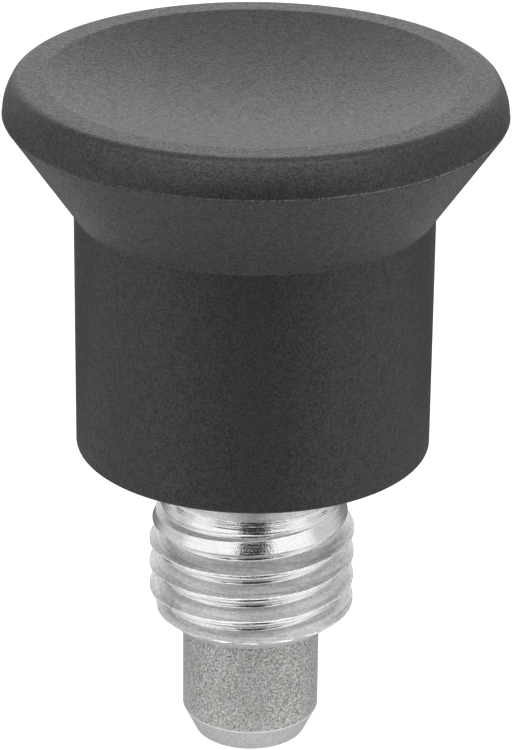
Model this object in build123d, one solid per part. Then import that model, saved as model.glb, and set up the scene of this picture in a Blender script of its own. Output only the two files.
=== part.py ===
from build123d import *
import os
from math import cos, pi, radians, sin, sqrt, tan

# An indexing plunger: a spring-loaded pin in a threaded sleeve, drawn back by a mushroom knob.
# Millimetres, +Z up along the plunger's axis. The origin is on the axis, in the plane of the
# collar's underside, where the sleeve seats on the panel that it is screwed into.

# Locking pin and its stem
pin_d = 8.0
pin_reach = 7.6
pin_bevel_width = 0.75
pin_bevel_length = 1.55
pin_guided_length = 5.5
pin_shoulder_width = 1.5
pin_shoulder_edge = 0.3
stem_cover = 1.65
stem_edge = 0.4
barb_pitch = 1.8
barb_count = 2
barb_depth = 0.3

# Thread and neck of the sleeve
sleeve_wall = 1.025
thread_pitch = 1.5
thread_depth_per_pitch = 0.6134
sleeve_reach = 10.5
end_bevel_length = 0.9
end_bevel_width = 1.075
neck_length = 1.5
neck_relief = 0.2
neck_bevel = 0.35
neck_cone_length = 0.85
land_allowance = 0.1
land_length = 0.45
runout_length = 2.05

# Hexagon collar and barrel of the sleeve
collar_step = 1.025
collar_height = 5.0
collar_seat_margin = 0.35
collar_bevel_angle = 30.0
barrel_wall = 1.97
barrel_height = 7.5
barrel_edge = 0.5
sleeve_top_wall = 2.5
bore_mouth_edge = 0.3

# Compression spring
wire_d = 0.75
spring_active_turns = 5
spring_end_turns = 0.75
end_turn_gap = 0.015
wire_sides = 6

# Mushroom knob
skirt_wall = 1.65
skirt_height = 14.2
skirt_lift = 0.7
skirt_edge = 0.15
cone_height = 5.8
rim_overhang = 3.9
rim_side_height = 1.95
rim_side_lean = 0.7
crest_edge = 0.3
ring_width = 1.7
dish_depth = 1.5
dish_rings = 3
crown_wall = 2.0
boss_wall = 2.3
rib_count = 6
rib_width = 1.2
rib_clearance = 1.5

# Clearances
pin_clearance = 0.03
stem_clearance = 0.06
stem_end_clearance = 0.2
spring_clearance = 0.23
skirt_clearance = 0.42

# Radii that follow, from the pin outwards
pin_r = pin_d / 2
stem_r = pin_r - pin_shoulder_width
bore_r = pin_r + pin_clearance
thread_core_r = bore_r + sleeve_wall
thread_r = thread_core_r + thread_depth_per_pitch * thread_pitch
collar_flat_r = thread_r + collar_step
collar_corner_r = collar_flat_r / cos(pi / 6)
skirt_bore_r = collar_corner_r + skirt_clearance
skirt_r = skirt_bore_r + skirt_wall
rim_r = skirt_r + rim_overhang
crest_r = rim_r - rim_side_lean
dish_rim_r = crest_r - ring_width

# Heights that follow, from the pin's tip to the crown
sleeve_end_z = -sleeve_reach
pin_tip_z = sleeve_end_z - pin_reach
pin_shoulder_z = sleeve_end_z + pin_guided_length
barrel_top_z = collar_height + barrel_height
chamber_top_z = barrel_top_z - sleeve_top_wall
corner_z = skirt_lift + skirt_height
rim_z = corner_z + cone_height
crown_z = rim_z + rim_side_height
dish_bottom_z = crown_z - dish_depth
stem_top_z = dish_bottom_z - stem_cover
ceiling_z = dish_bottom_z - crown_wall


def turned(points):
    """A solid of revolution from an outline of (radius, height) corners."""
    outline = Polyline([(r, 0, z) for r, z in points], close=True)
    return revolve(make_face(outline), Axis.Z)


def make_threaded_sleeve():
    """The turned body: bevelled thread, relieved neck, hexagon collar, barrel and stepped bore."""
    neck_r = thread_core_r - neck_relief
    land_r = thread_core_r + land_allowance
    neck_end_z = -neck_length
    land_top_z = neck_end_z - neck_cone_length
    land_end_z = land_top_z - land_length
    barrel_r = bore_r + barrel_wall
    shank = turned(
        [
            (0, sleeve_end_z),
            (thread_r - end_bevel_width, sleeve_end_z),
            (thread_r, sleeve_end_z + end_bevel_length),
            (thread_r, land_end_z - runout_length),
            (land_r, land_end_z),
            (land_r, land_top_z),
            (neck_r, neck_end_z),
            (neck_r, -neck_bevel),
            (neck_r + neck_bevel, 0),
            (barrel_r, 0),
            (barrel_r, barrel_top_z - barrel_edge),
            (barrel_r - barrel_edge, barrel_top_z),
            (0, barrel_top_z),
        ]
    )
    return shank + make_collar() - make_sleeve_bore()


def make_collar():
    """The hexagon, its corners turned off at both ends, which leaves the round seat at the foot."""
    hexagon = extrude(RegularPolygon(collar_flat_r, 6, major_radius=False), collar_height)
    seat_r = collar_flat_r - collar_seat_margin
    bevel_rise = (collar_corner_r - seat_r) * tan(radians(collar_bevel_angle))
    turning = turned(
        [
            (0, 0),
            (seat_r, 0),
            (collar_corner_r, bevel_rise),
            (collar_corner_r, collar_height - bevel_rise),
            (seat_r, collar_height),
            (0, collar_height),
        ]
    )
    return hexagon & turning


def make_sleeve_bore():
    """The pin's guide bore, which is also the spring's chamber, and the stem's hole above it."""
    stem_hole_r = stem_r + stem_clearance
    return turned(
        [
            (0, sleeve_end_z),
            (bore_r + bore_mouth_edge, sleeve_end_z),
            (bore_r, sleeve_end_z + bore_mouth_edge),
            (bore_r, chamber_top_z),
            (stem_hole_r, chamber_top_z),
            (stem_hole_r, barrel_top_z),
            (0, barrel_top_z),
        ]
    )


def make_index_pin():
    """The locking pin, its shoulder and the stem with ring barbs that hold it in the knob."""
    outline = [
        (0, pin_tip_z),
        (pin_r - pin_bevel_width, pin_tip_z),
        (pin_r, pin_tip_z + pin_bevel_length),
        (pin_r, pin_shoulder_z - pin_shoulder_edge),
        (pin_r - pin_shoulder_edge, pin_shoulder_z),
        (stem_r, pin_shoulder_z),
    ]
    # Each barb slopes in towards the top, for pressing in, and the next one's flat underside grips
    last_barb_z = stem_top_z - stem_edge
    for i in range(barb_count):
        z = last_barb_z - (barb_count - i) * barb_pitch
        outline += [(stem_r, z), (stem_r - barb_depth, z + barb_pitch)]
    outline += [(stem_r, last_barb_z), (stem_r - stem_edge, stem_top_z), (0, stem_top_z)]
    return turned(outline)


def make_compression_spring():
    """A wire helix with closed ends, ground flat on the pin's shoulder and under the top wall."""
    spring_r = bore_r - spring_clearance
    coil_r = spring_r - wire_d / 2
    length = chamber_top_z - pin_shoulder_z
    # The wire's middle starts a quarter of its thickness in from each end, which the grinding then cuts
    start = wire_d / 4
    turns = spring_active_turns + 2 * spring_end_turns
    closed_pitch = wire_d + end_turn_gap
    active_pitch = (length - 2 * start - 2 * spring_end_turns * closed_pitch) / spring_active_turns
    blend = 0.5

    def pitch_at(turn):
        """Pitch at a number of turns from the foot: closed at the ends, with a smooth change between."""
        inward = min(turn, turns - turn) - spring_end_turns
        share = min(max(inward / blend + 0.5, 0), 1)
        return closed_pitch + (active_pitch - closed_pitch) * share * share * (3 - 2 * share)

    steps_per_turn = 8
    height = pin_shoulder_z + start
    points = []
    for i in range(round(turns * steps_per_turn) + 1):
        angle = 2 * pi * i / steps_per_turn
        points.append((coil_r * cos(angle), coil_r * sin(angle), height))
        height += pitch_at((i + 0.5) / steps_per_turn) / steps_per_turn
    path = Spline(points)
    # The round wire's section is a polygon of a few sides, so that the long helix stays light
    section = Plane(origin=path @ 0, z_dir=path % 0) * RegularPolygon(wire_d / 2, wire_sides)
    wire = sweep(section, path, is_frenet=True)
    ground = Pos(0, 0, pin_shoulder_z) * Cylinder(
        spring_r + wire_d, length, align=(Align.CENTER, Align.CENTER, Align.MIN)
    )
    return wire & ground


def make_knob():
    """The moulded knob: dished crown, rounded rim, cone and skirt, cored out round a ribbed boss."""
    foot_z = skirt_lift
    dish_r = (dish_rim_r**2 + dish_depth**2) / (2 * dish_depth)
    edge_z = crown_z - crest_edge
    outline = [
        (0, foot_z),
        (skirt_r - skirt_edge, foot_z),
        (skirt_r, foot_z + skirt_edge),
        (skirt_r, corner_z),
        (rim_r, rim_z),
        # The rim's side leaves the widest line upright and leans in to the crest
        (rim_r - rim_side_lean / 4, (rim_z + edge_z) / 2),
        (crest_r, edge_z),
        (crest_r - crest_edge, crown_z),
        (dish_rim_r, crown_z),
    ]
    # The dish is a shallow piece of a sphere, stepped across in rings that keep it light
    for ring in range(dish_rings - 1, 0, -1):
        r = dish_rim_r * ring / dish_rings
        outline.append((r, dish_bottom_z + dish_r - sqrt(dish_r**2 - r**2)))
    outline.append((0, dish_bottom_z))
    return turned(outline) - make_knob_core()


def make_knob_core():
    """The space that the mould's core leaves: the skirt's bore less the boss and its ribs."""
    boss_r = stem_r + boss_wall
    standing = (Align.CENTER, Align.CENTER, Align.MIN)
    hollow = Pos(0, 0, skirt_lift) * Cylinder(skirt_bore_r, ceiling_z - skirt_lift, align=standing)
    boss = Pos(0, 0, barrel_top_z) * Cylinder(boss_r, ceiling_z - barrel_top_z, align=standing)
    rib_foot_z = barrel_top_z + rib_clearance
    rib = Pos(0, 0, rib_foot_z) * Box(
        skirt_bore_r + rib_width, rib_width, ceiling_z - rib_foot_z, align=(Align.MIN, Align.CENTER, Align.MIN)
    )
    ribs = [Rot(0, 0, i * 360 / rib_count) * rib for i in range(rib_count)]
    grip_length = stem_top_z + stem_end_clearance - barrel_top_z
    grip = Pos(0, 0, barrel_top_z) * Cylinder(stem_r, grip_length, align=standing)
    return hollow - boss - ribs + grip


os.makedirs("parts", exist_ok=True)
export_step(make_threaded_sleeve(), "parts/threaded_sleeve.step")
export_step(make_index_pin(), "parts/index_pin.step")
export_step(make_compression_spring(), "parts/compression_spring.step")
export_step(make_knob(), "parts/knob.step")
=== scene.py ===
import math

import bmesh
import bpy
import numpy as np
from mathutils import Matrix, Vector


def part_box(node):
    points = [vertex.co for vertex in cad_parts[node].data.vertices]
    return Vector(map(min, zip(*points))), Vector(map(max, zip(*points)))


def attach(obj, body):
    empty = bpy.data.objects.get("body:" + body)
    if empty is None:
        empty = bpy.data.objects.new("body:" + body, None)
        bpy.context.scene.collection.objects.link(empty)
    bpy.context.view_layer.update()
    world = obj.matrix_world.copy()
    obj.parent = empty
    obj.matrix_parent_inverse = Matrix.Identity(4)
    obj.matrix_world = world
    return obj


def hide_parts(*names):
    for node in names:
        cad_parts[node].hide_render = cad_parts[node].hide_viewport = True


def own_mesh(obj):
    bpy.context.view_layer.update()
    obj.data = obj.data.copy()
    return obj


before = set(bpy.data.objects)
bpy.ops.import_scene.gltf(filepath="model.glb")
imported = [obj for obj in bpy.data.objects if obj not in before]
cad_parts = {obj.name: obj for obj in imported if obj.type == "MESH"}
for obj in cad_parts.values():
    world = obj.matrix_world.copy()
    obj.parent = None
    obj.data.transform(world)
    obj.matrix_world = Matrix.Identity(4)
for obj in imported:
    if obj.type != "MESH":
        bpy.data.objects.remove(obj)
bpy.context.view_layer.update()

# Locking pin: a steel bar turned with a shoulder and a thinner stem, hardened, ground on its
# diameter and tumbled to a matte grey. Its bevelled tip drops into the index hole, and the barbs
# on its stem hold it in the knob's boss, which is pressed on from above.
MM = 0.001

pin_low, pin_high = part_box("index_pin")
pin_radius = pin_high.x / MM
pin_tip_z = pin_low.z / MM
stem_top_z = pin_high.z / MM
pin_shoulder_width = 1.5
stem_radius = pin_radius - pin_shoulder_width
pin_shoulder_z = -5.0
pin_bevel_width = 0.75
pin_bevel_length = 1.55
barb_pitch = 1.8
barb_depth = 0.3
barb_count = 2
stem_edge = 0.4


def rounded(corners, radii, steps=4):
    """An outline whose corners are circular arcs. At a corner with unit directions a and b to its
    neighbours, an arc of radius R touches both sides R / tan(half the angle) away from the corner,
    and its points turn evenly about the centre, as sin((1 - s)w) u + sin(s w) v over sin w."""
    p = np.asarray(corners, float)
    r = np.broadcast_to(np.asarray(radii, float), len(p) - 2)[:, None]
    a = p[:-2] - p[1:-1]
    b = p[2:] - p[1:-1]
    a /= np.linalg.norm(a, axis=1)[:, None]
    b /= np.linalg.norm(b, axis=1)[:, None]
    half = np.arccos(np.clip((a * b).sum(1), -1, 1))[:, None] / 2
    centre = p[1:-1] + (a + b) / np.linalg.norm(a + b, axis=1)[:, None] * r / np.sin(half)
    u = p[1:-1] + a * r / np.tan(half) - centre
    v = p[1:-1] + b * r / np.tan(half) - centre
    w = (math.pi - 2 * half)[:, None]
    s = np.linspace(0, 1, steps + 1)[None, :, None]
    arcs = centre[:, None] + (np.sin((1 - s) * w) * u[:, None] + np.sin(s * w) * v[:, None]) / np.sin(w)
    return np.vstack([p[:1], arcs.reshape(-1, 2), p[-1:]])


def guarded(outline, guard=0.04, longest=2.0):
    """The same outline with points added on its long straight stretches: one a guard's width from
    each end, which keeps the shading of the rounding next to it narrow, and others between."""
    points = [outline[:1]]
    for start, end in zip(outline[:-1], outline[1:]):
        length = np.linalg.norm(end - start)
        if length > 4 * guard:
            inner = np.linspace(guard, length - guard, 2 + int(length / longest)) / length
            points.append(start + (end - start) * inner[:, None])
        points.append(end[None])
    return np.vstack(points)


def turned(outline, columns):
    """The grid of a surface of revolution: each outline point (r, z) goes round the axis at evenly
    spaced angles t, to (r cos t, r sin t, z)."""
    t = np.linspace(0, 2 * math.pi, columns, endpoint=False)
    r, z = np.asarray(outline).T[:, :, None]
    return np.stack([r * np.cos(t), r * np.sin(t), z + 0 * t], -1)


def piece_from_grid(name, grid, rows_meet=False, columns_meet=True, sharp=40, marks=None):
    """A closed mesh of quads between neighbouring points of a (rows, columns, 3) grid in
    millimetres. Points that coincide, at the poles and along the seam, are welded into one."""
    rows, columns = grid.shape[:2]
    index = np.arange(rows * columns).reshape(rows, columns)
    if rows_meet:
        index = np.vstack([index, index[:1]])
    if columns_meet:
        index = np.hstack([index, index[:, :1]])
    quads = np.stack([index[:-1, :-1], index[:-1, 1:], index[1:, 1:], index[1:, :-1]], -1).reshape(-1, 4)
    mesh = bpy.data.meshes.new(name)
    mesh.from_pydata((grid.reshape(-1, 3) * MM).tolist(), [], quads.tolist())
    for mark, values in (marks or {}).items():
        layer = mesh.attributes.new(mark, "FLOAT", "POINT")
        layer.data.foreach_set("value", values.astype(np.float32).ravel())
    work = bmesh.new()
    work.from_mesh(mesh)
    bmesh.ops.remove_doubles(work, verts=work.verts, dist=1e-7)
    work.to_mesh(mesh)
    work.free()
    mesh.shade_smooth()
    mesh.set_sharp_from_angle(angle=math.radians(sharp))
    piece = bpy.data.objects.new(name, mesh)
    bpy.context.scene.collection.objects.link(piece)
    return piece


def put(tree, kind, values=None, **settings):
    """A node of that kind in the tree. Its settings are set, and each named or numbered input is
    given a plain value or linked from another node's socket."""
    node = tree.nodes.new(kind)
    for key, setting in settings.items():
        setattr(node, key, setting)
    for key, value in (values or {}).items():
        if isinstance(value, bpy.types.NodeSocket):
            tree.links.new(value, node.inputs[key])
        else:
            node.inputs[key].default_value = value
    return node


def times(tree, a, b):
    """The product of two values."""
    return put(tree, "ShaderNodeMath", {0: a, 1: b}, operation="MULTIPLY").outputs[0]


def blend(tree, share, a, b):
    """The colour at a share of the way from a to b."""
    return put(tree, "ShaderNodeMix", {"Factor": share, "A": a, "B": b}, data_type="RGBA").outputs["Result"]


def spread(tree, value, low, high):
    """A value from 0 to 1, spread out between a low and a high level."""
    return put(tree, "ShaderNodeMapRange", {"Value": value, "To Min": low, "To Max": high}).outputs[0]


def pushed_apart(tree, value, contrast):
    """A value pushed away from a half by a contrast, and kept between 0 and 1."""
    centred = put(tree, "ShaderNodeMath", {0: value, 1: 0.5}, operation="SUBTRACT").outputs[0]
    terms = {0: centred, 1: contrast, 2: 0.5}
    return put(tree, "ShaderNodeMath", terms, operation="MULTIPLY_ADD", use_clamp=True).outputs[0]


def new_group(name, inputs, outputs):
    """An empty node group with float or vector inputs and outputs, its own input node and output."""
    group = bpy.data.node_groups.new(name, "ShaderNodeTree")
    for label, kind, start in inputs:
        socket = group.interface.new_socket(label, in_out="INPUT", socket_type=kind)
        if start is not None:
            socket.default_value = start
    for label, kind in outputs:
        group.interface.new_socket(label, in_out="OUTPUT", socket_type=kind)
    return group, group.nodes.new("NodeGroupInput"), group.nodes.new("NodeGroupOutput")


def new_material(name, roughness, metallic):
    """A material with a Principled shader, and the Object coordinates that its patterns read."""
    material = bpy.data.materials.new(name)
    material.use_nodes = True
    tree = material.node_tree
    shader = tree.nodes["Principled BSDF"]
    shader.inputs["Roughness"].default_value = roughness
    shader.inputs["Metallic"].default_value = metallic
    return material, tree, shader, tree.nodes.new("ShaderNodeTexCoord").outputs["Object"]


def make_speckle():
    """A group for grain that has no direction: fine noise of a given size in millimetres over a
    coarser one, pushed apart by its contrast. It gives a mask from 0 to 1 about a half."""
    group, given, result = new_group(
        "speckle",
        [
            ("Vector", "NodeSocketVector", None),
            ("Size", "NodeSocketFloat", 0.2),
            ("Coarse Share", "NodeSocketFloat", 0.3),
            ("Contrast", "NodeSocketFloat", 1.0),
        ],
        [("Mask", "NodeSocketFloat")],
    )
    vector = given.outputs["Vector"]
    scale = put(group, "ShaderNodeMath", {0: 1 / MM, 1: given.outputs["Size"]}, operation="DIVIDE").outputs[0]
    fine = put(group, "ShaderNodeTexNoise", {"Vector": vector, "Scale": scale, "Detail": 1.0})
    wide = times(group, scale, 0.31)
    coarse = put(group, "ShaderNodeTexNoise", {"Vector": vector, "Scale": wide, "Detail": 2.0})
    shares = {"Factor": given.outputs["Coarse Share"], "A": fine.outputs[0], "B": coarse.outputs[0]}
    both = put(group, "ShaderNodeMix", shares).outputs[0]
    group.links.new(pushed_apart(group, both, given.outputs["Contrast"]), result.inputs["Mask"])
    return group


def make_turning_marks():
    """A group for what a lathe leaves: noise that is long round the axis and short along it, from
    x and y divided by the marks' length and z divided by their pitch, in millimetres."""
    group, given, result = new_group(
        "turning_marks",
        [
            ("Vector", "NodeSocketVector", None),
            ("Pitch", "NodeSocketFloat", 0.1),
            ("Length", "NodeSocketFloat", 6.0),
            ("Contrast", "NodeSocketFloat", 1.0),
        ],
        [("Mask", "NodeSocketFloat")],
    )
    along = put(group, "ShaderNodeMath", {0: 1 / MM, 1: given.outputs["Pitch"]}, operation="DIVIDE")
    across = put(group, "ShaderNodeMath", {0: 1 / MM, 1: given.outputs["Length"]}, operation="DIVIDE")
    shares = {"X": across.outputs[0], "Y": across.outputs[0], "Z": along.outputs[0]}
    scales = put(group, "ShaderNodeCombineXYZ", shares)
    terms = {0: given.outputs["Vector"], 1: scales.outputs[0]}
    place = put(group, "ShaderNodeVectorMath", terms, operation="MULTIPLY")
    noise = put(group, "ShaderNodeTexNoise", {"Vector": place.outputs[0], "Scale": 1.0, "Detail": 3.0})
    pushed = pushed_apart(group, noise.outputs[0], given.outputs["Contrast"])
    group.links.new(pushed, result.inputs["Mask"])
    return group


speckle = make_speckle()
turning_marks = make_turning_marks()


def tumbled_steel():
    """Matte grey steel with a fine speckle from tumbling. The bevel is ground afterwards, so it is
    plainer and paler, and its upper edge is a thin bright line: partly wear, partly a painted
    highlight in the colour."""
    material, tree, shader, place = new_material("tumbled_steel", 0.5, 1.0)
    grain = put(tree, "ShaderNodeGroup", node_tree=speckle)
    grain.inputs["Size"].default_value = 0.11
    grain.inputs["Coarse Share"].default_value = 0.12
    grain.inputs["Contrast"].default_value = 3.4
    tree.links.new(place, grain.inputs["Vector"])
    mask = grain.outputs["Mask"]
    tone = blend(tree, mask, (0.32, 0.315, 0.305, 1), (0.70, 0.695, 0.685, 1))
    bevel = put(tree, "ShaderNodeAttribute", attribute_name="bevel")
    paler = blend(tree, times(tree, bevel.outputs["Fac"], 0.75), tone, (0.60, 0.595, 0.585, 1))
    # Painted highlight, partly wear: a thin, nearly white line in the colour along the bevel's top edge
    edge = put(tree, "ShaderNodeAttribute", attribute_name="edge_wear_and_highlight")
    marked_tone = blend(tree, edge.outputs["Fac"], paler, (0.95, 0.945, 0.935, 1))
    tree.links.new(marked_tone, shader.inputs["Base Color"])
    tree.links.new(spread(tree, mask, 0.75, 0.5), shader.inputs["Roughness"])
    bump = put(tree, "ShaderNodeBump", {"Strength": 0.35, "Distance": 0.00002, "Height": mask})
    tree.links.new(bump.outputs[0], shader.inputs["Normal"])
    return material


def make_locking_pin():
    """The pin's rounded outline carried round the axis. Its marks are bevel, which falls from 1 to 0
    across the bevel's top edge, and the edge mark, exp(-((z - that edge) / 0.04)^2), a thin line
    along that edge that is partly wear and partly a painted highlight."""
    corners = [
        (0, pin_tip_z),
        (pin_radius - pin_bevel_width, pin_tip_z),
        (pin_radius, pin_tip_z + pin_bevel_length),
        (pin_radius, pin_shoulder_z),
        (stem_radius, pin_shoulder_z),
    ]
    radii = [0.15, 0.12, 0.3, 0.1]
    last_barb_z = stem_top_z - stem_edge
    for barb in range(barb_count):
        z = last_barb_z - (barb_count - barb) * barb_pitch
        corners += [(stem_radius, z), (stem_radius - barb_depth, z + barb_pitch)]
        radii += [0.03, 0.03]
    corners += [(stem_radius, last_barb_z), (stem_radius - stem_edge, stem_top_z), (0, stem_top_z)]
    radii += [0.05, 0.1]
    outline = guarded(rounded(corners, radii, 5))
    grid = turned(outline, 160)
    bevel_top_z = pin_tip_z + pin_bevel_length
    # The edge mark paints a highlight, partly wear, along the bevel's top edge
    marks = {
        "bevel": np.clip((bevel_top_z - grid[..., 2]) / 0.05 + 0.5, 0, 1),
        "edge_wear_and_highlight": np.exp(-(((grid[..., 2] - bevel_top_z) / 0.04) ** 2)),
    }
    return piece_from_grid("locking_pin", grid, marks=marks)


locking_pin = make_locking_pin()
locking_pin.data.materials.append(tumbled_steel())
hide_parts("index_pin")
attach(locking_pin, "plunger")

# Return spring: spring steel wire coiled with closed ends that are ground flat. It sits round the
# stem in the sleeve's chamber and pushes on the pin's shoulder, and shortens as the knob is drawn.
spring_low, spring_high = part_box("compression_spring")
spring_foot_z = spring_low.z / MM
spring_top_z = spring_high.z / MM
wire_radius = 0.375
spring_radius = 3.8
coil_radius = spring_radius - wire_radius
active_turns = 5
end_turns = 0.75
pitch_change_turns = 0.5
closed_pitch_share = 1.02
seat_gap = 0.01


def coiled_wire(rows_per_turn, columns):
    """The grid of a round wire along a helix. Its height is the running sum of a pitch that is one
    wire thick on the end turns and changes smoothly to the active pitch. The wire's surface is
    centre + w cos(a) n + w sin(a) b, with n outwards and b along the slope, cut flat at both ends."""
    turns = active_turns + 2 * end_turns
    t = np.linspace(0, turns, int(turns * rows_per_turn) + 1)
    middle = (t[1:] + t[:-1]) / 2
    inward = np.minimum(middle, turns - middle) - end_turns
    share = np.clip(inward / pitch_change_turns + 0.5, 0, 1)
    share = share * share * (3 - 2 * share)
    closed = 2 * wire_radius * closed_pitch_share
    active = (spring_top_z - spring_foot_z - wire_radius - 2 * end_turns * closed) / active_turns
    pitch = closed + (active - closed) * share
    climb = np.concatenate([[0], np.cumsum(pitch) / rows_per_turn])
    # The smooth change leaves the sum a little off the whole length, so it is stretched to fit
    climb *= (spring_top_z - spring_foot_z - wire_radius) / climb[-1]
    height = spring_foot_z + wire_radius / 2 + climb
    angle = 2 * math.pi * t
    out = np.stack([np.cos(angle), np.sin(angle), 0 * angle], -1)
    centre = out * coil_radius + np.stack([0 * t, 0 * t, height], -1)
    along = np.gradient(centre, axis=0)
    along /= np.linalg.norm(along, axis=1)[:, None]
    across = np.cross(along, out)
    a = np.linspace(0, 2 * math.pi, columns, endpoint=False)[None, :, None]
    ring = np.cos(a) * out[:, None] + np.sin(a) * across[:, None]
    grid = centre[:, None] + wire_radius * ring
    first = np.broadcast_to(centre[:1, None], (1, columns, 3))
    last = np.broadcast_to(centre[-1:, None], (1, columns, 3))
    grid = np.concatenate([first, grid, last])
    grid[..., 2] = np.clip(grid[..., 2], spring_foot_z + seat_gap, spring_top_z - seat_gap)
    return grid


def drawn_wire():
    """Spring steel wire: smooth, with a faint mottle from drawing and heat treatment."""
    material, tree, shader, place = new_material("spring_steel", 0.3, 1.0)
    grain = put(tree, "ShaderNodeGroup", node_tree=speckle)
    grain.inputs["Size"].default_value = 0.35
    grain.inputs["Coarse Share"].default_value = 0.6
    grain.inputs["Contrast"].default_value = 2.0
    tree.links.new(place, grain.inputs["Vector"])
    mask = grain.outputs["Mask"]
    tone = blend(tree, mask, (0.50, 0.49, 0.47, 1), (0.60, 0.595, 0.58, 1))
    tree.links.new(tone, shader.inputs["Base Color"])
    tree.links.new(spread(tree, mask, 0.26, 0.36), shader.inputs["Roughness"])
    return material


return_spring = piece_from_grid("return_spring", coiled_wire(40, 16))
return_spring.data.materials.append(drawn_wire())
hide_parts("compression_spring")
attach(return_spring, "spring")
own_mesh(return_spring)

# Threaded sleeve: one piece turned from hexagon steel bar and bright zinc plated. Below the collar
# it has a relieved neck, a land that the thread runs out on, and a right-hand fine thread that
# starts at a bevelled end. A round barrel with the spring's chamber stands above the collar.
sleeve_low, sleeve_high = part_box("threaded_sleeve")
sleeve_end_z = sleeve_low.z / MM
barrel_top_z = sleeve_high.z / MM
thread_radius = 5.975
thread_pitch = 1.5
thread_depth = 0.92
thread_start_z = -5.0
neck_radius = 4.855
land_radius = 5.155
neck_length = 1.5
neck_cone_length = 0.85
land_length = 0.45
runout_length = 2.05
tool_retraction = 0.16
retraction_start_z = -4.3
retraction_length = 1.3
shank_top_z = -neck_length + 0.3
end_bevel_length = 0.9
end_face_radius = 4.9
bore_radius = 4.03
bore_mouth_edge = 0.3
sleeve_top_wall = 2.5
chamber_top_z = barrel_top_z - sleeve_top_wall
stem_hole_radius = 2.56
barrel_radius = 6.0
collar_height = 5.0
collar_flat_radius = 7.0
collar_seat_radius = 6.65


def soft_max(a, b, width):
    """The larger of two values, with the corner between them rounded over a width."""
    return (a + b + np.sqrt((a - b) ** 2 + width**2)) / 2


def thread_depth_at(along):
    """Depth of the 60 degree thread below its crest at a distance along it: nothing on a crest
    flat an eighth of the pitch wide, then sqrt(3) times the distance beyond it, down to the root."""
    u = np.abs((along + thread_pitch / 2) % thread_pitch - thread_pitch / 2)
    flank = soft_max((u - thread_pitch / 16) * math.sqrt(3), 0, 0.02)
    return -soft_max(-flank, -thread_depth, 0.06)


def shank_radius_at(z):
    """Outline of the turned shank before threading, from its end bevel up to the relieved neck."""
    neck_end = -neck_length
    land_top = neck_end - neck_cone_length
    land_end = land_top - land_length
    heights = [sleeve_end_z, sleeve_end_z + end_bevel_length, land_end - runout_length]
    heights += [land_end, land_top, neck_end]
    widths = [end_face_radius, thread_radius, thread_radius, land_radius, land_radius, neck_radius]
    return np.interp(z, heights, widths)


def threaded_shank(columns):
    """The threaded length as a sheared grid. Row s at angle t lies at height s + pitch t / 2 pi, so
    that every row follows the helix, and its radius is the smaller of the blank's and the thread's.
    Rows beyond either end are gathered on the end's ring. Also gives two marks: an edge mark near a
    crest's edge and round the end, for a paler line that is partly wear and partly a painted
    highlight, and burnished, exp(-(slope / 0.8)^4), below the neck's cone on what stands upright."""
    rows_per_turn = 48
    first = math.floor((sleeve_end_z - thread_start_z) / thread_pitch) - 1
    last = math.ceil((shank_top_z - thread_start_z) / thread_pitch)
    turn = first + np.arange((last - first) * rows_per_turn + 1) / rows_per_turn
    s = thread_start_z + turn * thread_pitch
    t = np.linspace(0, 2 * math.pi, columns + 1)[None]
    s = s[::-1, None]
    z = s + thread_pitch * t / (2 * math.pi)
    ended = (z <= sleeve_end_z) | (z >= shank_top_z)
    z = np.clip(z, sleeve_end_z, shank_top_z)
    blank = shank_radius_at(z)
    # The tool draws back over the last turn, which makes the groove shallower and the crest wider
    share = np.clip((z - retraction_start_z) / retraction_length, 0, 1)
    depth = thread_depth_at(s - thread_start_z + 0 * t) - tool_retraction * share * share * (3 - 2 * share)
    radius = -soft_max(-blank, -(thread_radius - depth), 0.03)
    radius = np.where(ended, blank, radius)
    u = np.abs((s - thread_start_z + thread_pitch / 2) % thread_pitch - thread_pitch / 2) + 0 * t
    # Painted highlight, partly wear: the colour is made nearly white in a thin band along each full crest's
    # edge and round the end
    edge_wear_and_highlight = np.exp(-(((u - thread_pitch / 16 - 0.01) / 0.03) ** 2)) * (blank > thread_radius - 0.3)
    edge_wear_and_highlight = np.maximum(edge_wear_and_highlight, z < sleeve_end_z + 0.06)
    slope = np.gradient(radius, axis=0) / np.gradient(s, axis=0)
    burnished = np.exp(-((slope / 0.8) ** 4)) * (z < -neck_length - neck_cone_length + 0.05)
    grid = np.stack([radius * np.cos(t), radius * np.sin(t), z], -1)
    return grid, {"edge_wear_and_highlight": edge_wear_and_highlight, "burnished": burnished}


def ring_rows(outline, columns):
    """Rows of a surface of revolution that close on their first angle, like the threaded rows."""
    grid = turned(outline, columns)
    return np.concatenate([grid, grid[:, :1]], 1)


def hexagon_rows(levels, columns):
    """Rows round the collar. At angle t a regular hexagon is flat_radius / cos(t mod 60 degrees
    from the middle of a side) wide, and each level (bevel radius, z) turns its corners off."""
    t = np.linspace(0, 2 * math.pi, columns + 1)[None]
    side = np.mod(t, math.pi / 3) - math.pi / 6
    hexagon = collar_flat_radius / np.cos(side)
    widest, z = np.asarray(levels).T[:, :, None]
    radius = np.minimum(hexagon, widest)
    return np.stack([radius * np.cos(t), radius * np.sin(t), z + 0 * t], -1)


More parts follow.
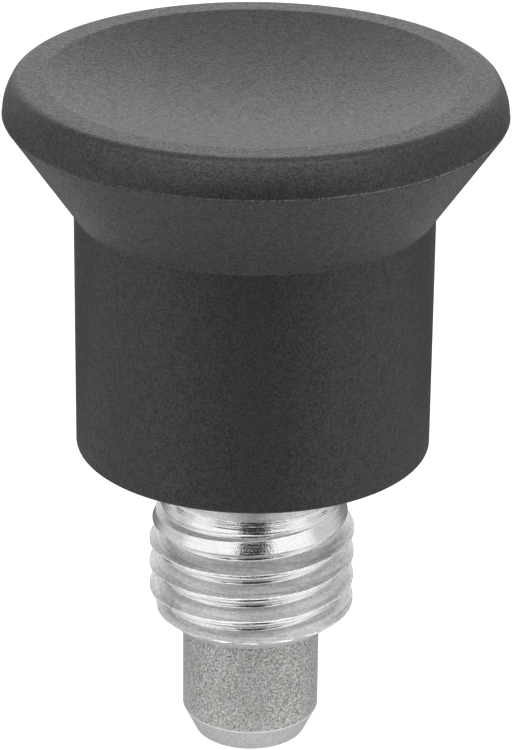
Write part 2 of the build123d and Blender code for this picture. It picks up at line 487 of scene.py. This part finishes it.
def make_threaded_sleeve():
    """One closed grid: the threaded shank, the bore and the barrel as surfaces of revolution, the
    collar, and the seat with the neck. The marks are nothing above the thread's rows."""
    columns = 204
    thread, thread_marks = threaded_shank(columns)
    bore = guarded(
        rounded(
            [
                (end_face_radius, sleeve_end_z),
                (bore_radius + bore_mouth_edge, sleeve_end_z),
                (bore_radius, sleeve_end_z + bore_mouth_edge),
                (bore_radius, chamber_top_z),
                (stem_hole_radius, chamber_top_z),
                (stem_hole_radius, barrel_top_z),
                (barrel_radius, barrel_top_z),
                (barrel_radius, collar_height),
                (collar_seat_radius, collar_height),
            ],
            [0.05, 0.05, 0.08, 0.05, 0.15, 0.5, 0.1],
        )
    )[1:-1]
    corner_radius = collar_flat_radius / math.cos(math.pi / 6)
    rise = np.linspace(0, 1, 12)
    widths = collar_seat_radius + (corner_radius - collar_seat_radius) * rise
    lift = (corner_radius - collar_seat_radius) * rise * math.tan(math.radians(30))
    levels = np.vstack(
        [
            np.stack([widths, collar_height - lift], -1),
            np.stack([widths[::-1], lift[::-1]], -1),
        ]
    )
    neck = [(collar_seat_radius, 0), (neck_radius, 0), (neck_radius, shank_top_z)]
    seat = guarded(rounded(neck, [0.35]))[1:-1]
    collar = hexagon_rows(levels, columns)
    grid = np.concatenate([thread, ring_rows(bore, columns), collar, ring_rows(seat, columns)])
    turned_rows = ((0, len(grid) - len(thread)), (0, 0))
    marks = {mark: np.pad(values, turned_rows)[::-1] for mark, values in thread_marks.items()}
    grid = grid[::-1]
    return piece_from_grid(
        "sleeve_with_thread", grid, rows_meet=True, columns_meet=False, sharp=50, marks=marks
    )


def zinc_plated_steel():
    """Bright zinc on turned steel. What the tool left upright is burnished like a mirror, the thread's
    flanks keep fine marks round the axis and a soft mottle, and crests and lips are painted paler
    along their edges, partly as wear and partly as a painted highlight."""
    material, tree, shader, place = new_material("zinc_plated_steel", 0.3, 1.0)
    rings = put(tree, "ShaderNodeGroup", node_tree=turning_marks)
    rings.inputs["Pitch"].default_value = 0.08
    rings.inputs["Length"].default_value = 3.0
    rings.inputs["Contrast"].default_value = 3.0
    tree.links.new(place, rings.inputs["Vector"])
    grain = put(tree, "ShaderNodeGroup", node_tree=speckle)
    grain.inputs["Size"].default_value = 0.1
    grain.inputs["Coarse Share"].default_value = 0.4
    grain.inputs["Contrast"].default_value = 3.0
    tree.links.new(place, grain.inputs["Vector"])
    halves = {"Factor": 0.5, "A": rings.outputs["Mask"], "B": grain.outputs["Mask"]}
    both = put(tree, "ShaderNodeMix", halves).outputs[0]
    upright = put(tree, "ShaderNodeAttribute", attribute_name="burnished").outputs["Fac"]
    dull = blend(tree, both, (0.46, 0.46, 0.455, 1), (1.0, 1.0, 0.995, 1))
    bright = blend(tree, both, (0.84, 0.84, 0.835, 1), (0.97, 0.97, 0.965, 1))
    tone = blend(tree, upright, dull, bright)
    # Painted highlight, partly wear: near-white colour along the crests' edges and the end's lip
    edge = put(tree, "ShaderNodeAttribute", attribute_name="edge_wear_and_highlight").outputs["Fac"]
    palest = {"Value": grain.outputs["Mask"], "From Min": 0.25, "From Max": 0.6}
    broken = times(tree, edge, put(tree, "ShaderNodeMapRange", palest).outputs[0])
    marked_tone = blend(tree, broken, tone, (0.98, 0.98, 0.975, 1))
    tree.links.new(marked_tone, shader.inputs["Base Color"])
    finishes = {"Factor": upright, "A": spread(tree, both, 0.36, 0.52), "B": spread(tree, both, 0.06, 0.2)}
    rough = put(tree, "ShaderNodeMix", finishes)
    tree.links.new(rough.outputs[0], shader.inputs["Roughness"])
    bump = put(tree, "ShaderNodeBump", {"Strength": 0.9, "Distance": 0.00001, "Height": both})
    tree.links.new(bump.outputs[0], shader.inputs["Normal"])
    return material


sleeve = make_threaded_sleeve()
sleeve.data.materials.append(zinc_plated_steel())
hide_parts("threaded_sleeve")
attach(sleeve, "sleeve")

# Knob: one moulding in black glass-filled plastic with a fine matte grain. The mould closes on the
# widest line of its rim, where a thin line of flash is left, and a core from below hollows the
# skirt and leaves the boss for the stem with six ribs under the crown.
knob_low, knob_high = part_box("knob")
rim_radius = knob_high.x / MM
crown_z = knob_high.z / MM
skirt_foot_z = knob_low.z / MM
rim_side_height = 1.95
cone_height = 5.8
rim_overhang = 3.9
rim_side_lean = 0.7
ring_width = 1.7
skirt_wall = 1.65
crown_wall = 2.0
rim_z = crown_z - rim_side_height
corner_z = rim_z - cone_height
skirt_radius = rim_radius - rim_overhang
crest_radius = rim_radius - rim_side_lean
crest_rounding = 0.7
dish_radius = crest_radius - ring_width
dish_depth = 1.5
core_radius = skirt_radius - skirt_wall
ceiling_z = crown_z - dish_depth - crown_wall
boss_radius = 4.8
stem_end_clearance = 0.2
grip_top_z = stem_top_z + stem_end_clearance
rib_count = 6
rib_width = 1.2
rib_clearance = 1.5
rib_foot_z = barrel_top_z + rib_clearance
flash_z = rim_z - 0.08
flash_height = 0.03
worn_side = -25.0


def knob_outside():
    """Outline of the crown, rim and skirt from the dish's middle to the skirt's foot. The dish is an
    arc of a sphere, and the rim's side is the parabola r = rim - lean (height / side height)^2."""
    sphere = (dish_radius**2 + dish_depth**2) / (2 * dish_depth)
    r = np.linspace(0, dish_radius, 25)
    dish = np.stack([r, crown_z - dish_depth + sphere - np.sqrt(sphere**2 - r**2)], -1)
    rise = np.linspace(1, 0, 13)
    leaning = rim_radius - flash_height - rim_side_lean * rise**2
    side = np.stack([leaning, rim_z + rim_side_height * rise], -1)
    crest = rounded([(dish_radius, crown_z), side[0], side[1]], [crest_rounding], 8)
    # The crest's rounding takes the place of the side's first points
    side = side[side[:, 1] < crest[-2, 1] - 0.05]
    ring = rounded([dish[-2], (dish_radius, crown_z), (crest[1, 0], crown_z)], [0.5], 4)
    flash = np.array([(rim_radius - flash_height, rim_z), (rim_radius - flash_height, flash_z + 0.05)])
    peak = np.array([(rim_radius, flash_z)])
    below = rounded(
        [
            (rim_radius - flash_height, flash_z - 0.05),
            (rim_radius - flash_height - 0.02, flash_z - 0.12),
            (skirt_radius, corner_z),
            (skirt_radius, skirt_foot_z),
            (core_radius, skirt_foot_z),
        ],
        [0.1, 0.25, 0.12],
        6,
    )
    return np.vstack([dish[:-1], ring[1:-1], crest[1:-1], side, flash[1:], peak, below[:-1]])


def make_knob():
    """The outline carried round the axis in six equal sectors, one for each rib of the core. In a
    sector the columns crowd to the rib's sides, at angles asin(half width / r), and the heights of
    the core's rows are kept under the rib's foot inside them and under the ceiling between them.
    Its mark, rubbed, is exp(-((z - flash_z) / 0.05)^2) times cos^2 of the turn from worn_side."""
    outside = guarded(knob_outside(), 0.03, 1.5)
    heights = np.array([skirt_foot_z, barrel_top_z, rib_foot_z, ceiling_z])
    core = np.vstack(
        [
            [(core_radius + 0.25, skirt_foot_z)],
            np.stack([np.full(3, core_radius), heights[[1, 2, 3]]], -1),
            [((core_radius + boss_radius) / 2, ceiling_z)],
            np.stack([np.full(3, boss_radius), [ceiling_z, rib_foot_z, barrel_top_z]], -1),
            [(stem_radius, barrel_top_z), (stem_radius, grip_top_z), (0, grip_top_z)],
        ]
    )
    core = np.insert(core, 1, (core_radius, skirt_foot_z + 0.25), 0)
    outline = np.vstack([outside, core])
    is_core = np.arange(len(outline)) >= len(outside) + 1
    r, z = outline.T[:, :, None, None]
    rib_columns = 6
    gap_columns = 30
    inner = np.concatenate([np.linspace(-1, 1, rib_columns), np.linspace(1, 2, gap_columns)])
    is_rib = np.arange(len(inner)) < rib_columns
    half = np.arcsin(rib_width / 2 / np.clip(r, boss_radius, core_radius))
    sector = 2 * math.pi / rib_count
    angle = np.where(is_rib, inner * half, half + (inner - 1) * (sector - 2 * half))
    angle = angle + sector * np.arange(rib_count)[None, :, None]
    top = np.where(is_rib & is_core[:, None, None] & (r >= boss_radius - 0.01), rib_foot_z, 99)
    height = np.minimum(z, top) + 0 * angle
    grid = np.stack([r * np.cos(angle), r * np.sin(angle), height], -1).reshape(len(outline), -1, 3)[::-1]
    # The flash is rubbed most on one side of the rim, about the bearing of worn_side
    turn = np.arctan2(grid[..., 1], grid[..., 0]) - math.radians(worn_side)
    rubbed = np.exp(-(((grid[..., 2] - flash_z) / 0.05) ** 2)) * np.clip(np.cos(turn), 0, 1) ** 2
    marks = {"rubbed": rubbed * (grid[..., 0] ** 2 + grid[..., 1] ** 2 > (rim_radius - 0.2) ** 2)}
    return piece_from_grid("mushroom_knob", grid, sharp=50, marks=marks)


def black_plastic():
    """Matte moulded plastic with a fine grain, a mottle a few grains wide, and specks of light
    glass fibre. The flash on the parting line is rubbed paler than the rest."""
    material, tree, shader, place = new_material("black_plastic", 0.5, 0.0)
    grain = put(tree, "ShaderNodeGroup", node_tree=speckle)
    grain.inputs["Size"].default_value = 0.13
    grain.inputs["Coarse Share"].default_value = 0.25
    grain.inputs["Contrast"].default_value = 3.5
    tree.links.new(place, grain.inputs["Vector"])
    mask = grain.outputs["Mask"]
    tone = blend(tree, mask, (0.006, 0.006, 0.0062, 1), (0.036, 0.036, 0.0365, 1))
    flash = put(tree, "ShaderNodeAttribute", attribute_name="rubbed")
    broken = times(tree, flash.outputs["Fac"], spread(tree, mask, 0.0, 1.4))
    marked_tone = blend(tree, broken, tone, (0.16, 0.16, 0.16, 1))
    tree.links.new(marked_tone, shader.inputs["Base Color"])
    tree.links.new(spread(tree, mask, 0.52, 0.36), shader.inputs["Roughness"])
    bump = put(tree, "ShaderNodeBump", {"Strength": 0.4, "Distance": 0.00003, "Height": mask})
    tree.links.new(bump.outputs[0], shader.inputs["Normal"])
    return material


knob = make_knob()
knob.data.materials.append(black_plastic())
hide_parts("knob")
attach(knob, "plunger")

# Studio: a pale floor well below the part, which is shown as it is held by its thread, and a soft
# light tent round it. White cards lie on the floor with a gap towards the viewer, so that bright
# steel shows a dark stripe down its middle, and the tent is brightest behind and high in front.
floor_z = -60.0
card_edge_radius = 122.0
gap_start_radius = 90.0
far_start_radius = 164.0
card_softness = 12.0


def ramp(tree, factor, stops):
    """A ramp in greys from (bearing in degrees, level) stops, over bearings from -180 to 180."""
    node = put(tree, "ShaderNodeValToRGB", {"Fac": factor})
    elements = node.color_ramp.elements
    while len(elements) < len(stops):
        elements.new(0.5)
    for element, (degrees, level) in zip(elements, stops):
        element.position = 0.5 + degrees / 360
        element.color = (level, level, level, 1)
    return node.outputs["Color"]


def step_between(tree, value, low, high):
    """A smooth step of a value, from 0 at its low end to 1 at its high end."""
    ends = {"Value": value, "From Min": low, "From Max": high}
    return put(tree, "ShaderNodeMapRange", ends, interpolation_type="SMOOTHSTEP").outputs[0]


def times_plus(tree, a, b, c):
    """The product of two values, plus a third."""
    return put(tree, "ShaderNodeMath", {0: a, 1: b, 2: c}, operation="MULTIPLY_ADD").outputs[0]


def either(tree, share, first, second):
    """The first shader, or the second where the share is 1."""
    return put(tree, "ShaderNodeMixShader", {0: share, 1: first, 2: second}).outputs[0]


def bearing_of(tree, vector):
    """Bearing of a direction round the vertical as 0 to 1: a half towards the viewer at -Y, less on
    the left and more on the right. Also gives the share of the way to the viewer, and the height."""
    parts = put(tree, "ShaderNodeSeparateXYZ", {0: vector})
    ahead = times(tree, parts.outputs["Y"], -1.0)
    turn = put(tree, "ShaderNodeMath", {0: parts.outputs["X"], 1: ahead}, operation="ARCTAN2")
    full_turn = {"Value": turn.outputs[0], "From Min": -math.pi, "From Max": math.pi}
    share = put(tree, "ShaderNodeMapRange", full_turn)
    return share.outputs[0], ahead, parts.outputs["Z"]


def make_tent():
    """The tent's light by direction: its walls by bearing, a top with a dark seam on either side at
    the back, a bright band low behind and a bright field high in front."""
    world = bpy.data.worlds.new("light_tent")
    bpy.context.scene.world = world
    world.use_nodes = True
    tree = world.node_tree
    direction = put(tree, "ShaderNodeTexCoord").outputs["Generated"]
    bearing, ahead, height = bearing_of(tree, direction)
    left_walls = [(-180, 0.8), (-120, 0.6), (-86, 0.6), (-76, 1.0), (-17, 1.0), (-13, 0.02)]
    right_walls = [(19, 0.02), (23, 1.0), (72, 1.0), (80, 0.6), (120, 0.6), (180, 0.8)]
    walls = ramp(tree, bearing, left_walls + right_walls)
    left_seam = [(-180, 0.75), (-144, 0.75), (-140, 0.02), (-125, 0.02), (-120, 0.75)]
    right_seam = [(125, 0.75), (129, 0.15), (135, 0.15), (139, 0.75)]
    top = ramp(tree, bearing, left_seam + right_seam)
    tent = blend(tree, step_between(tree, height, 0.35, 0.6), walls, top)
    behind = ramp(tree, bearing, [(-165, 1.0), (-145, 0.0), (145, 0.0), (165, 1.0)])
    low_behind = times(tree, behind, step_between(tree, height, 0.55, 0.25))
    low_behind = times(tree, low_behind, step_between(tree, height, 0.02, 0.2))
    high_in_front = times(tree, step_between(tree, ahead, -0.2, 0.4), step_between(tree, height, 0.33, 0.8))
    strength = times_plus(tree, high_in_front, 2.1, times_plus(tree, low_behind, 1.7, 1.0))
    seen = put(tree, "ShaderNodeLightPath").outputs["Is Camera Ray"]
    background = tree.nodes["Background"]
    tree.links.new(blend(tree, seen, tent, (1, 1, 1, 1)), background.inputs["Color"])
    plain = put(tree, "ShaderNodeMix", {"Factor": seen, "A": strength, "B": 1.0})
    tree.links.new(plain.outputs[0], background.inputs["Strength"])


def make_floor():
    """A round floor, its grid a disc whose rings run out to the edge. Mirrored rays see cards by
    bearing, laid in rings: whole ones, then ones parted by the gap, and two more rings beyond."""
    outline = [(0, floor_z), (200, floor_z), (900, floor_z)]
    floor = piece_from_grid("floor", turned(outline, 96)[::-1])
    material = bpy.data.materials.new("pale_floor")
    material.use_nodes = True
    tree = material.node_tree
    tree.nodes.remove(tree.nodes["Principled BSDF"])
    place = put(tree, "ShaderNodeTexCoord").outputs["Object"]
    bearing = bearing_of(tree, place)[0]
    flat = put(tree, "ShaderNodeVectorMath", {0: place, 1: (1 / MM, 1 / MM, 0)}, operation="MULTIPLY")
    distance = put(tree, "ShaderNodeVectorMath", {0: flat.outputs[0]}, operation="LENGTH").outputs["Value"]
    left_whole = [(-180, 0.45), (-150, 0.45), (-125, 0.7), (-85, 0.7), (-60, 1.0)]
    right_whole = [(60, 1.0), (85, 0.85), (125, 0.75), (150, 0.45), (180, 0.45)]
    whole = ramp(tree, bearing, left_whole + right_whole)
    left_cards = [(-180, 0.8), (-118, 0.7), (-113, 0.1), (-101, 0.1)]
    left_cards += [(-97, 0.5), (-82, 0.5), (-76, 1.0), (-17, 1.0), (-14, 0.01)]
    right_cards = [(20, 0.01), (23, 1.0), (72, 1.0), (78, 0.5), (99, 0.5)]
    right_cards += [(103, 0.1), (112, 0.1), (116, 0.6), (180, 0.8)]
    parted = ramp(tree, bearing, left_cards + right_cards)
    gap_opens = step_between(tree, distance, gap_start_radius - card_softness, gap_start_radius)
    cards = blend(tree, gap_opens, whole, parted)
    left_beyond = [(-180, 0.3), (-172, 0.3), (-162, 0.01), (-132, 0.01), (-116, 0.7), (-60, 0.8), (-35, 0.05)]
    right_beyond = [(25, 0.05), (60, 0.9), (108, 1.0), (122, 0.01), (162, 0.01), (172, 0.3), (180, 0.3)]
    beyond = ramp(tree, bearing, left_beyond + right_beyond)
    cards_end = step_between(tree, distance, card_edge_radius, card_edge_radius + card_softness)
    near = blend(tree, cards_end, cards, beyond)
    left_far = [(-180, 0.45), (-165, 0.45), (-145, 0.2), (-125, 0.3), (-100, 0.8), (-50, 0.8), (-35, 0.01)]
    right_far = [(35, 0.01), (50, 0.8), (100, 0.8), (125, 0.3), (145, 0.2), (165, 0.45), (180, 0.45)]
    far = ramp(tree, bearing, left_far + right_far)
    far_begins = step_between(tree, distance, far_start_radius, far_start_radius + card_softness)
    pattern = blend(tree, far_begins, near, far)
    ray = put(tree, "ShaderNodeLightPath")
    plain = put(tree, "ShaderNodeBsdfDiffuse", {"Color": (0.35, 0.35, 0.35, 1)})
    glow = put(tree, "ShaderNodeEmission", {"Color": (1, 1, 1, 1), "Strength": 0.85})
    shown = put(tree, "ShaderNodeAddShader", {0: plain.outputs[0], 1: glow.outputs[0]})
    mirrored = put(tree, "ShaderNodeEmission", {"Color": pattern})
    lit = put(tree, "ShaderNodeEmission", {"Color": (0.6, 0.6, 0.6, 1)})
    bounced = either(tree, ray.outputs["Is Glossy Ray"], lit.outputs[0], mirrored.outputs[0])
    solid = either(tree, ray.outputs["Is Camera Ray"], bounced, shown.outputs[0])
    # From below the floor is clear, so that the part's underside can be looked at
    below = put(tree, "ShaderNodeNewGeometry").outputs["Backfacing"]
    clear = put(tree, "ShaderNodeBsdfTransparent")
    surface = either(tree, below, solid, clear.outputs[0])
    tree.links.new(surface, tree.nodes["Material Output"].inputs["Surface"])
    floor.data.materials.append(material)


make_tent()
make_floor()

bpy.context.scene.view_settings.view_transform = "Standard"

# Camera: above and in front of the part, rolled by about the half degree that the photo is tilted.
camera_height = 86.16
camera_distance = 184.0
camera_aim = (0.15, 0.0, 4.58)
camera_roll = 0.6
camera = bpy.data.objects.new("camera", bpy.data.cameras.new("camera"))
bpy.context.scene.collection.objects.link(camera)
camera.data.sensor_width = 36
camera.data.lens = 169.06
camera.data.clip_start = 0.01
camera.location = (camera_aim[0] * MM, -camera_distance * MM, camera_height * MM)
pitch = math.atan2(camera_distance, camera_height - camera_aim[2])
camera.rotation_mode = "ZYX"
camera.rotation_euler = (pitch, 0, math.radians(camera_roll))
bpy.context.scene.camera = camera
